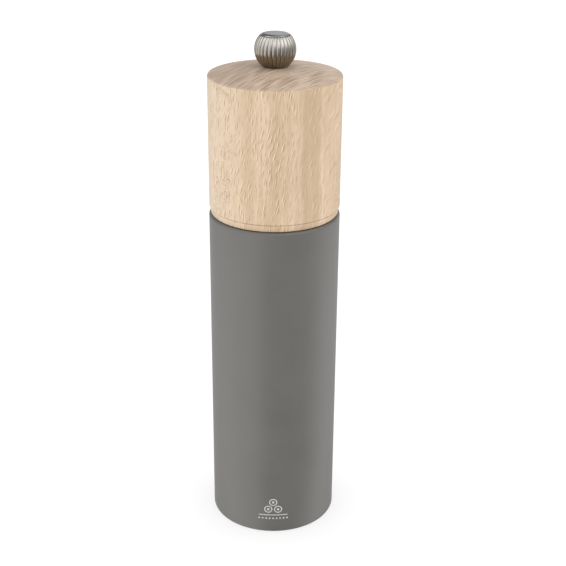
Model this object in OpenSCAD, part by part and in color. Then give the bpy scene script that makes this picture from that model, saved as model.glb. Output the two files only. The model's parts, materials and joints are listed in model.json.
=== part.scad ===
// Pepper mill with a turned wooden body and head, and a fluted steel knob that sets the grind.
// Turning the head turns the square shaft and the rotor burr inside the fixed stator burr. The
// knob screws down the shaft's thread, so tightening it lifts the shaft and closes the burrs.
// Millimetres, +Z up. The origin is the centre of the base, on the table. The front faces -Y.

/* [Body] */
// Outside diameter of the body
body_d = 53; // [44:0.5:70]
// Height of the body, from the table to the joint under the head
body_h = 138; // [110:1:200]
// Radius of the body's top edge
body_edge_r = 1; // [0.5:0.1:2]
// Chamfer round the foot
foot_chamfer = 0.5; // [0.2:0.1:1.5]
// Depth of the outlet recess in the base
outlet_h = 10; // [8:0.5:16]
// Ledge that carries the bridge, where the grinder bore meets the pepper chamber
bridge_ledge = 1.7; // [1:0.1:3]
// Ledge between the pepper chamber and the mouth that takes the head's spigot
mouth_ledge = 2.5; // [1.5:0.1:4]

/* [Head] */
// Height of the head's straight side
head_h = 56; // [35:1:90]
// Height of the shallow dome on the head
dome_h = 3.4; // [1:0.1:8]
// How far the head's side stands inside the body's side
head_inset = 0.1; // [0:0.05:1]
// Height of the band at the bottom of the head
band_h = 3; // [1.5:0.1:6]
// Width of the small step above the band
band_step = 0.25; // [0.1:0.05:0.6]
// How far the band tapers in towards the joint
band_taper = 0.45; // [0.2:0.05:1.5]
// Chamfer round the top edge of the head
head_chamfer = 0.4; // [0.2:0.1:1.5]
// Length of the spigot that centres the head in the body
spigot_h = 13; // [8:0.5:20]
// Radial clearance of the spigot in the mouth
spigot_clearance = 0.25; // [0.1:0.05:0.5]

/* [Knob] */
// Diameter of the knob's ball
knob_d = 16.3; // [13:0.1:24]
// How far the knob's foot covers the edge of the hole in the head
foot_cover = 0.2; // [0.1:0.05:1]
// Diameter of the flat on top of the knob
knob_flat_d = 12; // [10:0.1:12.4]
// Number of grooves round the knob
knob_grooves = 28; // [20:2:40]
// Width of each groove
groove_w = 0.5; // [0.3:0.05:0.6]
// Thickness of the disc let into the top of the knob
cap_t = 1.5; // [1:0.1:2]
// How far the disc lies below the knob's rim
cap_inset = 0.3; // [0.1:0.05:0.6]
// Width of the knob's rim round the disc
cap_rim = 0.55; // [0.4:0.05:1]
// Wall of the brass insert that carries the thread
insert_wall = 0.85; // [0.6:0.05:1.2]

/* [Shaft] */
// Width of the square shaft, and the diameter of the thread at its top
shaft_w = 5; // [4:0.1:7]
// Diameter of the round end that turns in the retaining bar
pilot_d = 4; // [3:0.1:5]
// Pitch of the knob's thread
thread_pitch = 0.8; // [0.5:0.1:1]
// Turns of the knob from coarse to fine
knob_turns = 2; // [1:0.5:3]
// Clearance on each side of the shaft in the square holes
square_clearance = 0.1; // [0.05:0.01:0.2]
// Radial clearance of a shaft or a thread that runs in a round hole
running_clearance = 0.05; // [0.02:0.01:0.1]
// Radial gap round the shaft in the head
head_bore_gap = 0.36; // [0.2:0.02:1]

/* [Grinder] */
// Outside diameter of the stator burr
stator_d = 27; // [23:0.5:33]
// Height of the stator burr
stator_h = 15; // [12:0.5:20]
// Wall of the stator burr outside its teeth, at the bottom
stator_wall = 1.8; // [1.5:0.1:2.5]
// Depth of the stator's grinding teeth
stator_tooth = 0.8; // [0.5:0.1:1.2]
// Depth of the rotor's grinding teeth
rotor_tooth = 1; // [0.6:0.1:1.4]
// Height of the rotor's grinding cone
rotor_cone_h = 9; // [6:0.5:11]
// Height of the rotor's spiral feed above its cone
rotor_feed_h = 7; // [4:0.5:9]
// How far the cones narrow for each millimetre of height
burr_slope = 0.3; // [0.2:0.02:0.4]
// Gap between the burrs at the finest setting
finest_gap = 0.12; // [0.1:0.01:0.3]
// Grinding teeth on the rotor
rotor_teeth = 28; // [18:1:36]
// Grinding teeth in the stator
stator_teeth = 32; // [18:1:40]
// Spiral feed blades on the rotor
feed_blades = 5; // [3:1:7]
// Slots in the stator's funnel that catch whole peppercorns
breaker_slots = 8; // [4:1:10]
// Wall of the steel housing round the stator
housing_wall = 1.2; // [0.8:0.1:2]
// Width of the housing's flange
flange_w = 5.6; // [5.2:0.1:8]
// Thickness of the housing's flange
flange_t = 1.5; // [1:0.1:2.5]

/* [Bridge and spring] */
// Height of the open space between the housing and the bridge
feed_space_h = 20; // [14:1:30]
// Thickness of the bridge
bridge_t = 2; // [1.5:0.1:3]
// Width of the bridge's arms
arm_w = 4; // [3:0.1:6]
// Length of the bridge's hub below the plate
hub_drop = 4; // [2:0.5:6]
// Wall of the bridge's hub
hub_wall = 1.9; // [1.2:0.1:3]
// Wall of the nylon bush outside its square hole, at the corners
bush_wall = 1.3; // [1:0.1:2]
// Diameter of the spring's wire
wire_d = 1; // [0.7:0.1:1.4]
// Gap between the corners of the shaft and the spring
spring_play = 0.85; // [0.5:0.05:1.5]
// How far the spring washers reach past the spring
washer_margin = 0.8; // [0.3:0.1:1.5]
// Turns of the spring
spring_turns = 6.5; // [5:0.5:9]

/* [Fastenings] */
// Thickness of the retaining bar
bar_t = 1.6; // [1:0.1:2.5]
// Width of the retaining bar
bar_w = 9; // [7:0.5:12]
// Thickness of the drive plate under the head
plate_t = 1.6; // [1:0.1:3]
// Radial gap between the drive plate and the pepper chamber
plate_gap = 0.4; // [0.2:0.1:1]
// How far the drive plate's screws stand in from its edge
plate_screw_inset = 5.5; // [3:0.5:7]
// How far the outlet's screws stand out from the housing
screw_offset = 3.3; // [2.5:0.1:4]
// Diameter of the wood screws
screw_d = 2.4; // [2:0.1:3]
// Length of the wood screws
screw_l = 10; // [8:0.5:14]
// Diameter of the screw heads
screw_head_d = 4.4; // [4:0.1:5]
// Height of the screw heads
screw_head_h = 1.6; // [1.2:0.1:2]
// Height of the nut that holds the rotor on
nut_h = 2.4; // [2:0.1:3.2]
// Width of the nut across its flats
nut_w = 7; // [7:0.1:9]
// Thickness of the washers
washer_t = 0.6; // [0.4:0.1:1]
// Thickness of the nylon washer under the knob
knob_washer_t = 0.9; // [0.5:0.1:1.5]
// Length of the ferrule in the top of the head
ferrule_h = 8; // [5:0.5:12]

/* [Hidden] */
$fn = 96;
past = 1;                 // how far a cutting shape runs past the face that it cuts
face_gap = 0.1;           // gap between faces that turn against each other
seat_gap = 0.2;           // gap between a pressed-in steel part and its pocket
edge_steps = 6;           // steps in a rounded edge
burr_slices = 4;          // layers in a twisted row of teeth
cone_twist = 24;          // turn of the grinding teeth over the height of their cone
feed_twist = 60;          // turn of the feed blades over their height

// Radii, from the shaft outwards
thread_r = shaft_w / 2;
corner_r = shaft_w / sqrt(2);
square_hole_w = shaft_w + 2 * square_clearance;
head_bore_r = corner_r + head_bore_gap;
bush_r = square_hole_w / sqrt(2) + bush_wall;
hub_bore_r = bush_r + running_clearance;
hub_r = hub_bore_r + hub_wall;
washer_hole_r = corner_r + square_clearance;
spring_r = corner_r + spring_play + wire_d / 2;
spring_washer_r = spring_r + wire_d / 2 + washer_margin;
stator_r = stator_d / 2;
housing_r = stator_r + housing_wall;
grinder_bore_r = housing_r + seat_gap / 2;
flange_r = housing_r + flange_w;
outlet_r = flange_r + seat_gap;
hopper_r = grinder_bore_r + bridge_ledge;
mouth_r = hopper_r + mouth_ledge;
spigot_r = mouth_r - spigot_clearance;
body_r = body_d / 2;
head_r = body_r - head_inset;
joint_r = head_r - band_step - band_taper;

// Heights, from the table upwards
adjust_travel = thread_pitch * knob_turns;
pilot_past = 1;
bar_top = outlet_h - flange_t;
bar_z = bar_top - bar_t;
nut_z = bar_top + seat_gap;
rotor_z = nut_z + nut_h;
cone_top = rotor_z + rotor_cone_h;
rotor_top = cone_top + rotor_feed_h;
stator_z = rotor_z + adjust_travel;
stator_top = stator_z + stator_h;
housing_lip = 1.5;
housing_top = stator_top + housing_lip;
bridge_z = housing_top + feed_space_h;
hub_z = bridge_z - hub_drop;
clip_t = 0.8;
clip_groove = 0.5;
clip_w = 1.3;
clip_z = hub_z - face_gap - clip_t;
upper_washer_z = clip_z - washer_t;
spring_z = rotor_top + washer_t;
bush_flange_h = 1;
mouth_gap = 0.8;
mouth_z = body_h - spigot_h - mouth_gap;
plate_z = body_h - spigot_h - plate_t;
head_edge_z = body_h + head_h;
head_top_z = head_edge_z + dome_h;
dome_r = (head_r * head_r + dome_h * dome_h) / (2 * dome_h);

// Burr cones. The stator's tooth tips lie the finest gap outside the lifted rotor's.
stator_root_r = stator_r - stator_wall;
stator_tip_r = stator_root_r - stator_tooth;
rotor_r = stator_tip_r - finest_gap;
rotor_neck_r = rotor_r - burr_slope * rotor_cone_h;
stator_cone_h = rotor_cone_h - 1;
throat_tip_r = stator_tip_r - burr_slope * stator_cone_h;
lip_overlap = 0.4;
lip_r = stator_root_r + lip_overlap;
funnel_rim = 1.6;
funnel_r = stator_r - funnel_rim;
feed_step = 0.6;
feed_r = rotor_neck_r - feed_step;
feed_wall = 1.6;
feed_core_r = corner_r + feed_wall;
feed_top_r = feed_core_r + feed_step;
feed_depth = 2;

// Knob, from its foot on the head
knob_r = knob_d / 2;
knob_foot_r = head_bore_r + foot_cover;
knob_center_z = head_top_z + sqrt(pow(knob_r, 2) - pow(knob_foot_r, 2));
knob_top_z = knob_center_z + sqrt(pow(knob_r, 2) - pow(knob_flat_d / 2, 2));
cap_r = knob_flat_d / 2 - cap_rim;
cap_z = knob_top_z - cap_inset - cap_t;
cap_floor = 1.4;
tip_gap = 1.2;
tip_room = adjust_travel + tip_gap;
thread_past = 0.3;
shoulder_gap = 0.4;
shaft_chamfer = 0.5;
insert_r = thread_r + running_clearance + insert_wall;
insert_top = cap_z - cap_floor - tip_room;
shaft_top = insert_top + thread_past;
knob_washer_z = head_top_z - knob_washer_t;
ferrule_z = knob_washer_z - ferrule_h;
square_top = ferrule_z - adjust_travel - shoulder_gap;
pilot_r = pilot_d / 2;
pilot_z = bar_z - pilot_past;

// Fastenings
bar_screw_r = housing_r + screw_offset;
plate_r = hopper_r - plate_gap;
plate_screw_r = plate_r - plate_screw_inset;

// Points on a circle's arc, as [radius, height]
function arc(center, r, from, to, steps = edge_steps) =
    [for (i = [0 : steps]) let (a = from + (to - from) * i / steps) center + r * [cos(a), sin(a)]];

// A ring of saw teeth: each tooth is a tip and a root
function saw(tip_r, root_r, teeth, lean = 0.3) =
    [for (i = [0 : teeth - 1], root = [0, 1])
        let (a = (i + root * lean) * 360 / teeth, r = root == 1 ? root_r : tip_r)
        r * [cos(a), sin(a)]];

module disc(z, r, h) translate([0, 0, z]) cylinder(r = r, h = h);

module tube(z, r, hole_r, h) difference() {
    disc(z, r, h);
    disc(z - past, hole_r, h + 2 * past);
}

// A block centred on the axis, for square holes and flats
module block(z, w, h) translate([-w / 2, -w / 2, z]) cube([w, w, h]);

module twice(radius, turn = 0) for (side = [0, 180]) rotate([0, 0, side + turn])
    translate([radius, 0, 0]) children();

// A pan-head wood screw that points up, with the underside of its head at z
module wood_screw(z) translate([0, 0, z]) {
    point_h = screw_d;
    slot_w = 0.7;
    slot_l = 2.6;
    round_r = screw_head_h / 2;
    round_x = screw_head_d / 2 - round_r;
    outline = concat([[0, -screw_head_h]], arc([round_x, -round_r], round_r, -90, 0),
        [[screw_head_d / 2, 0], [screw_d / 2, 0], [screw_d / 2, screw_l - point_h], [0, screw_l]]);
    difference() {
        rotate_extrude() polygon(outline);
        for (turn = [0, 90]) rotate([0, 0, turn])
            translate([-slot_l / 2, -slot_w / 2, -screw_head_h - past])
                cube([slot_l, slot_w, past + round_r]);
    }
}

module screw_hole(z) translate([0, 0, z - past]) cylinder(r = screw_d / 2, h = screw_l + past);

// One row of twisted teeth, as tall as h, between two tip radii
module teeth(z, tip_r, top_tip_r, depth, count, twist, h) translate([0, 0, z])
    linear_extrude(height = h, twist = twist, scale = top_tip_r / tip_r, slices = burr_slices)
        polygon(saw(tip_r, tip_r - depth, count));

// Turned body, with the outlet, the grinder bore, the pepper chamber and the mouth
module body_shell() {
    outline = concat(
        [[0, 0], [body_r - foot_chamfer, 0], [body_r, foot_chamfer]],
        arc([body_r - body_edge_r, body_h - body_edge_r], body_edge_r, 0, 90),
        [[0, body_h]]);
    color("dimgray") difference() {
        rotate_extrude() polygon(outline);
        disc(-past, outlet_r, outlet_h + past);
        disc(0, grinder_bore_r, body_h);
        disc(bridge_z, hopper_r, body_h);
        disc(mouth_z, mouth_r, body_h);
        twice(bar_screw_r) screw_hole(outlet_h);
        twice(bar_screw_r, 90) screw_hole(outlet_h);
    }
}

// Pressed steel bridge: a ring on the ledge, three arms and a hub for the bush
module upper_bridge() {
    ring_w = 2.2;
    color("silver") difference() {
        union() {
            tube(bridge_z, hopper_r, hopper_r - ring_w, bridge_t);
            disc(hub_z, hub_r, hub_drop + bridge_t);
            for (turn = [30 : 120 : 270]) rotate([0, 0, turn])
                translate([0, -arm_w / 2, bridge_z]) cube([hopper_r - ring_w / 2, arm_w, bridge_t]);
        }
        disc(hub_z - past, hub_bore_r, hub_drop + bridge_t + 2 * past);
    }
}

// Steel housing that holds the stator and screws to the ceiling of the outlet
module grinder_housing() {
    color("lightgray") difference() {
        union() {
            disc(bar_top, flange_r, flange_t);
            disc(bar_top, housing_r, housing_top - bar_top);
        }
        disc(bar_top - past, lip_r, stator_z);
        disc(stator_z, stator_r, housing_top);
        twice(bar_screw_r) screw_hole(bar_top);
        twice(bar_screw_r, 90) screw_hole(bar_top);
    }
}

// Fixed burr: a funnel with breaker teeth above, and a cone of grinding teeth below
module stator_burr() {
    cone_h = stator_cone_h;
    funnel_z = stator_z + cone_h;
    funnel_h = stator_top - funnel_z;
    lean = atan2(funnel_r - throat_tip_r, funnel_h);
    slot_w = 1.8;
    slot_depth = 0.8;
    slot_rise = 1;
    color("gray") difference() {
        disc(stator_z, stator_r, stator_h);
        teeth(stator_z - past, stator_root_r + past * burr_slope, throat_tip_r + stator_tooth,
              stator_tooth, stator_teeth, cone_twist, cone_h + past);
        translate([0, 0, funnel_z - past / 2])
            cylinder(r1 = throat_tip_r, r2 = funnel_r, h = funnel_h + past);
        for (i = [0 : breaker_slots - 1]) rotate([0, 0, i * 360 / breaker_slots])
            translate([throat_tip_r, -slot_w / 2, funnel_z + slot_rise]) rotate([0, lean, 0])
                translate([-slot_depth, 0, 0]) cube([2 * slot_depth, slot_w, 2 * funnel_h]);
    }
}

module housing_screws() color("silver") twice(bar_screw_r, 90) wood_screw(bar_top);

// Bar across the outlet, which steadies the lower end of the shaft
module retaining_bar() {
    color("silver") difference() {
        intersection() {
            disc(bar_z, flange_r, bar_t);
            translate([-flange_r, -bar_w / 2, bar_z]) cube([2 * flange_r, bar_w, bar_t]);
        }
        disc(bar_z - past, pilot_r + running_clearance, bar_t + 2 * past);
        twice(bar_screw_r) screw_hole(bar_z);
    }
}

module bar_screws() color("silver") twice(bar_screw_r) wood_screw(bar_z);

// Nylon bush that turns in the bridge, with a square hole for the shaft
module shaft_bush() {
    flange_z = bridge_z + bridge_t + face_gap;
    color("white") difference() {
        union() {
            disc(upper_washer_z + washer_t, bush_r, flange_z - upper_washer_z - washer_t);
            disc(flange_z, hub_r - 1, bush_flange_h);
        }
        block(upper_washer_z, square_hole_w, flange_z);
        tube(clip_z, bush_r + past, bush_r - clip_groove, clip_t);
    }
}

module bush_clip() {
    hole_r = bush_r - clip_groove;
    color("silver") tube(clip_z, hole_r + clip_w, hole_r, clip_t);
}

module upper_spring_washer()
    color("silver") tube(upper_washer_z, spring_washer_r, washer_hole_r, washer_t);

module lower_spring_washer()
    color("silver") tube(rotor_top, spring_washer_r, washer_hole_r, washer_t);

// Compression spring with a closed turn at each end, as a swept tube
module grinder_spring() {
    sides = 8;
    rings_per_turn = 16;
    rings = spring_turns * rings_per_turn;
    low = spring_z + wire_d / 2 + face_gap / 2;
    high = upper_washer_z - wire_d / 2 - face_gap / 2;
    open_turns = spring_turns - 2;
    rise = (high - low - 2 * wire_d) / open_turns;
    function coil_z(t) = t < 1 ? low + wire_d * t
        : t > spring_turns - 1 ? high - wire_d * (spring_turns - t)
        : low + wire_d + rise * (t - 1);
    points = [for (i = [0 : rings], s = [0 : sides - 1])
        let (t = i / rings_per_turn, a = t * 360, b = s * 360 / sides,
             r = spring_r + wire_d / 2 * cos(b))
        [r * cos(a), r * sin(a), coil_z(t) + wire_d / 2 * sin(b)]];
    function quad(i, s) = let (n = (s + 1) % sides)
        [i * sides + s, (i + 1) * sides + s, (i + 1) * sides + n, i * sides + n];
    walls = [for (i = [0 : rings - 1], s = [0 : sides - 1]) quad(i, s)];
    ends = [[for (s = [0 : sides - 1]) s], [for (s = [sides - 1 : -1 : 0]) rings * sides + s]];
    color("silver") polyhedron(points, concat(walls, ends), convexity = 10);
}

// Square bar with a threaded round top and a round lower end
module drive_shaft() {
    round_end = [[0, square_top - past], [thread_r, square_top - past],
        [thread_r, shaft_top - shaft_chamfer], [thread_r - shaft_chamfer, shaft_top], [0, shaft_top]];
    color("silver") union() {
        block(rotor_z, shaft_w, square_top - rotor_z);
        rotate_extrude() polygon(round_end);
        disc(pilot_z, pilot_r, rotor_z - pilot_z + past);
    }
}

// Turning burr: a cone of grinding teeth with spiral feed blades above it
module rotor_burr() {
    color("gray") difference() {
        union() {
            teeth(rotor_z, rotor_r, rotor_neck_r, rotor_tooth, rotor_teeth, -cone_twist, rotor_cone_h);
            disc(cone_top - past, feed_core_r, rotor_feed_h + past);
            teeth(cone_top - past, feed_r, feed_top_r, feed_depth, feed_blades, -feed_twist,
                  rotor_feed_h + past);
        }
        block(rotor_z - past, shaft_w, rotor_top);
    }
}

module rotor_nut() {
    color("silver") difference() {
        translate([0, 0, nut_z]) cylinder(r = nut_w / sqrt(3), h = nut_h, $fn = 6);
        disc(nut_z - past, pilot_r, nut_h + 2 * past);
    }
}

// Turned head, with the spigot below, a band over the joint and a shallow dome
module head_wood() {
    chamfer_reach = 1;
    chamfer_rise = 1.4 * chamfer_reach;
    outline = [[0, body_h - spigot_h], [spigot_r, body_h - spigot_h], [spigot_r, body_h],
        [joint_r, body_h], [joint_r + band_taper, body_h + band_h], [head_r, body_h + band_h],
        [head_r, head_edge_z - head_chamfer],
        [head_r - chamfer_reach, head_edge_z - head_chamfer + chamfer_rise],
        [head_r - chamfer_reach, head_top_z + past], [0, head_top_z + past]];
    color("burlywood") difference() {
        intersection() {
            rotate_extrude() polygon(outline);
            translate([0, 0, head_top_z - dome_r]) sphere(r = dome_r, $fn = 360);
        }
        disc(0, head_bore_r, head_top_z + past);
        twice(plate_screw_r) screw_hole(plate_z + plate_t);
    }
}

// Steel plate under the spigot, whose square hole drives the shaft
module drive_plate() {
    color("silver") difference() {
        disc(plate_z, plate_r, plate_t);
        block(plate_z - past, square_hole_w, plate_t + 2 * past);
        twice(plate_screw_r) screw_hole(plate_z);
    }
}

module drive_plate_screws() color("silver") twice(plate_screw_r) wood_screw(plate_z);

module head_ferrule()
    color("gold") tube(ferrule_z, head_bore_r, thread_r + head_bore_gap, ferrule_h);

module knob_washer() {
    hole_r = thread_r + square_clearance;
    color("white") tube(knob_washer_z, head_bore_r - face_gap, hole_r, knob_washer_t);
}

// Ball knob with a flat top and grooves that run from its rim to its foot
module knob_shell() {
    rim_angle = acos(knob_flat_d / knob_d);
    foot_angle = -acos(knob_foot_r / knob_r);
    reach = 4;
    color("silver") difference() {
        intersection() {
            translate([0, 0, knob_center_z]) sphere(r = knob_r);
            disc(head_top_z, knob_d, knob_top_z - head_top_z);
        }
        disc(head_top_z - past, insert_r, insert_top - head_top_z + past);
        disc(insert_top - past, thread_r + square_clearance * 2, tip_room + past);
        disc(cap_z, cap_r, cap_t + cap_inset + past);
        for (i = [0 : knob_grooves - 1]) translate([0, 0, knob_center_z])
            rotate([90, 0, i * 360 / knob_grooves]) rotate([0, 0, foot_angle - reach])
                rotate_extrude(angle = rim_angle - foot_angle + 2 * reach)
                    translate([knob_r, 0]) circle(r = groove_w / 2, $fn = 24);
    }
}

module knob_insert()
    color("gold") tube(head_top_z, insert_r, thread_r + running_clearance, insert_top - head_top_z);

module knob_cap() color("gray") disc(cap_z, cap_r, cap_t);

body_shell();
upper_bridge();
grinder_housing();
stator_burr();
housing_screws();
retaining_bar();
bar_screws();
shaft_bush();
bush_clip();
upper_spring_washer();
grinder_spring();
lower_spring_washer();
drive_shaft();
rotor_burr();
rotor_nut();
head_wood();
drive_plate();
drive_plate_screws();
head_ferrule();
knob_washer();
knob_shell();
knob_insert();
knob_cap();
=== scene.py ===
# %% [markdown]
# # A pepper mill, dressed for its picture
# The frame holds the whole mechanism: body, bridge, burrs, spring, shaft, head and knob. It is
# right in size and it moves. What it lacks is finish. This lesson models the pieces that show
# again, with rounded edges, ribs and a thread, and gives every piece a material of its own.
# All lengths are in metres, and a finished piece keeps its place in its mesh.

# %% Load the frame
import json
import math
import bpy
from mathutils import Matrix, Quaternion, Vector


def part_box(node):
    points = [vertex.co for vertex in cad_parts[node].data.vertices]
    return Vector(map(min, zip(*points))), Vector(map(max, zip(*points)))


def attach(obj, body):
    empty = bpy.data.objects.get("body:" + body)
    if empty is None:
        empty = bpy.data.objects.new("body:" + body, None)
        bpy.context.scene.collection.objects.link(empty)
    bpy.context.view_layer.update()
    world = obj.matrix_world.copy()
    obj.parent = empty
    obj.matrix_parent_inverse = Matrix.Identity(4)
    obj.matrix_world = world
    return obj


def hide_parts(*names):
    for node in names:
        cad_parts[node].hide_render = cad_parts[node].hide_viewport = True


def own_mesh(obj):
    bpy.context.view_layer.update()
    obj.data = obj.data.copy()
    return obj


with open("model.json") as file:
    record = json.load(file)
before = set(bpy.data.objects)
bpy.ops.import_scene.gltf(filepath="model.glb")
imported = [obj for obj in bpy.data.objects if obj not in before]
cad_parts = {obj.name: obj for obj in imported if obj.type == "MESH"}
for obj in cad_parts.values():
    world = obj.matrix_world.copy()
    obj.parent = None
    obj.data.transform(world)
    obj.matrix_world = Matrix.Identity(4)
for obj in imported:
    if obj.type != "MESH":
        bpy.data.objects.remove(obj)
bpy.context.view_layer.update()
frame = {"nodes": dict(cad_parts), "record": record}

MM = 0.001

# %% [markdown]
# ## Sizes
# A turned piece is known by a few radii and heights. Most come straight from the frame: the
# box of a node gives its radius and its lowest and highest point. The few that no box shows,
# such as the clearance of the spigot, are named here.

# %% Sizes from the frame
def reach(node):
    """The radius of a node that is round about Z."""
    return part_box(node)[1].x


def span(node):
    """The lowest and highest point of a node."""
    low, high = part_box(node)
    return low.z, high.z


body_radius = reach("body_shell")
body_top = span("body_shell")[1]
head_radius = reach("head_wood")
spigot_bottom, head_top = span("head_wood")
hopper_radius = reach("upper_bridge")
bridge_top = span("upper_bridge")[1]
outlet_radius = reach("grinder_housing") + 0.2 * MM
outlet_top = span("grinder_housing")[0] + 1.5 * MM
bridge_ledge = bridge_top - 2 * MM
grinder_bore = reach("stator_burr") + 1.3 * MM
mouth_radius = hopper_radius + 2.5 * MM
mouth_floor = spigot_bottom - 0.8 * MM
spigot_radius = mouth_radius - 0.25 * MM
shaft_bore = reach("head_ferrule")
knob_foot, knob_top = span("knob_shell")
knob_radius = reach("knob_shell")
print(f"body {2000 * body_radius:.1f} mm across, {1000 * body_top:.0f} mm high")
print(f"head top at {1000 * head_top:.1f} mm, knob top at {1000 * knob_top:.1f} mm")

# %% [markdown]
# ## The camera
# A product picture is taken from a little above, with a lens long enough that the sides of the
# mill hardly converge. The camera is aimed by a direction and then rolled a touch, because a
# camera on a tripod is never quite level.

# %% Camera
camera = bpy.data.objects.new("camera", bpy.data.cameras.new("camera"))
bpy.context.scene.collection.objects.link(camera)
bpy.context.scene.camera = camera
camera.data.lens = 73.74
camera.data.sensor_width = 36
camera.location = (0, -0.4437, 0.2993)
look_down, look_right, roll = math.radians(23.56), math.radians(0.475), math.radians(0.45)
aim = Vector((math.sin(look_right) * math.cos(look_down),
              math.cos(look_right) * math.cos(look_down), -math.sin(look_down)))
camera.rotation_mode = "QUATERNION"
camera.rotation_quaternion = aim.to_track_quat("-Z", "Y") @ Quaternion((0, 0, 1), roll)
camera.data.clip_start = 0.01
print("camera", tuple(round(c, 3) for c in camera.location))

# %% [markdown]
# ## A lathe made of extrusions
# The body, the head, the disc and the bush are turned on a lathe. Blender's Spin could sweep an
# outline, but walking a ring along it is easier to follow: a circle is added at the first point,
# and each further point extrudes the ring, moves it and resizes it. Where the outline closes on
# itself the first and last ring are merged, which leaves a solid wall with nothing inside.

# %% Turning helpers
SMOOTH = 160              # sides of a large turned piece


def deselect():
    bpy.ops.object.select_all(action="DESELECT")


def arc(center, radius, start, end, steps=6):
    """Points on an arc in the (radius, height) plane. Angles are in degrees."""
    turns = [math.radians(start + (end - start) * i / steps) for i in range(steps + 1)]
    return [(center[0] + radius * math.cos(a), center[1] + radius * math.sin(a)) for a in turns]


def settle(piece, angle=35):
    """Ends a piece: its place goes into its mesh, and its sharp edges stay sharp."""
    deselect()
    piece.select_set(True)
    bpy.context.view_layer.objects.active = piece
    bpy.ops.object.transform_apply(location=True, rotation=True, scale=True)
    bpy.ops.object.shade_smooth_by_angle(angle=math.radians(angle))
    return piece


def turn_ring(outline):
    """Extrudes the selected ring along the outline, from its first point to its last."""
    for (radius, height), (next_radius, next_height) in zip(outline, outline[1:]):
        bpy.ops.mesh.extrude_region_move(
            TRANSFORM_OT_translate={"value": (0, 0, next_height - height)})
        ratio = next_radius / radius
        bpy.ops.transform.resize(value=(ratio, ratio, 1), center_override=(0, 0, next_height))


def close_mesh():
    """Merges what meets and turns every face outwards."""
    bpy.ops.mesh.select_all(action="SELECT")
    bpy.ops.mesh.remove_doubles(threshold=0.002 * MM)
    bpy.ops.mesh.normals_make_consistent(inside=False)
    bpy.ops.object.mode_set(mode="OBJECT")


def start_ring(name, radius, height, sides, turn=0.0):
    """A circle in edit mode, with its place in its mesh."""
    deselect()
    bpy.ops.mesh.primitive_circle_add(vertices=sides, radius=radius, location=(0, 0, height),
                                      rotation=(0, 0, turn))
    piece = bpy.context.object
    piece.name = name
    piece.data.name = name
    bpy.ops.object.transform_apply(location=True, rotation=True)
    bpy.ops.object.mode_set(mode="EDIT")
    bpy.ops.mesh.select_all(action="SELECT")
    return piece


def turned(name, outline, sides=SMOOTH):
    """A turned solid. The outline is a closed loop of (radius, height) points."""
    piece = start_ring(name, *outline[0], sides)
    turn_ring(outline + outline[:1])
    close_mesh()
    settle(piece)
    print(f"{name}: {len(piece.data.polygons)} faces")
    return piece


# %% [markdown]
# ## Materials that share their effects
# Real surfaces are never one colour. The effects that several finishes need, such as speckle and
# brushing, are node groups with named inputs. A group gives back masks and heights only; the
# shader stays in each material, where an exporter can find it.

# %% Node helpers
def new_group(name, inputs, outputs):
    """A shader node group. Inputs are {name: default number}; outputs are {name: socket type}."""
    group = bpy.data.node_groups.new(name, "ShaderNodeTree")
    for label, value in inputs.items():
        socket = group.interface.new_socket(label, in_out="INPUT", socket_type="NodeSocketFloat")
        socket.default_value = value
    for label, kind in outputs.items():
        group.interface.new_socket(label, in_out="OUTPUT", socket_type=kind)
    return group, group.nodes.new("NodeGroupInput"), group.nodes.new("NodeGroupOutput")


def connect(tree, source, target):
    """Links an output to an input, or sets the input to a plain value."""
    if isinstance(source, bpy.types.NodeSocket):
        tree.links.new(source, target)
    else:
        target.default_value = source


def math_node(tree, operation, *values, clamp=False):
    node = tree.nodes.new("ShaderNodeMath")
    node.operation = operation
    node.use_clamp = clamp
    for value, socket in zip(values, node.inputs):
        connect(tree, value, socket)
    return node.outputs[0]


def soft_step(tree, value, low, high):
    """0 below low, 1 above high, and smooth between. It falls instead where low is above high."""
    node = tree.nodes.new("ShaderNodeMapRange")
    node.interpolation_type = "SMOOTHSTEP"
    for source, label in ((value, "Value"), (low, "From Min"), (high, "From Max")):
        connect(tree, source, node.inputs[label])
    return node.outputs["Result"]


def noise(tree, vector, scale, detail=2.0, roughness=0.5):
    node = tree.nodes.new("ShaderNodeTexNoise")
    connect(tree, vector, node.inputs["Vector"])
    connect(tree, scale, node.inputs["Scale"])
    node.inputs["Detail"].default_value = detail
    node.inputs["Roughness"].default_value = roughness
    return node.outputs["Fac"]


def stretched(tree, vector, scale):
    """The vector times a scale for each axis."""
    node = tree.nodes.new("ShaderNodeVectorMath")
    node.operation = "MULTIPLY"
    connect(tree, vector, node.inputs[0])
    node.inputs[1].default_value = scale
    return node.outputs[0]


def mix_colors(tree, amount, first, second):
    node = tree.nodes.new("ShaderNodeMix")
    node.data_type = "RGBA"
    for source, label in ((amount, 0), (first, 6), (second, 7)):
        connect(tree, source, node.inputs[label])
    return node.outputs[2]


def place_group(tree, group, **values):
    """The group in a material's tree. A word with _ stands for a socket name with spaces."""
    node = tree.nodes.new("ShaderNodeGroup")
    node.node_tree = group
    for label, value in values.items():
        connect(tree, value, node.inputs[label.replace("_", " ")])
    return node


def new_material(name, metallic=0.0, **sockets):
    """A material with one Principled shader. Constant sockets are set on the shader itself."""
    material = bpy.data.materials.new(name)
    material.use_nodes = True
    shader = material.node_tree.nodes["Principled BSDF"]
    shader.inputs["Metallic"].default_value = metallic
    for label, value in sockets.items():
        shader.inputs[label.replace("_", " ")].default_value = value
    return material, material.node_tree, shader


def bump(tree, shader, height, depth):
    """Feeds a height from 0 to 1 into the shader's normal. Depth is in metres."""
    node = tree.nodes.new("ShaderNodeBump")
    node.inputs["Strength"].default_value = 1.0
    node.inputs["Distance"].default_value = depth
    connect(tree, height, node.inputs["Height"])
    tree.links.new(node.outputs["Normal"], shader.inputs["Normal"])


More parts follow.
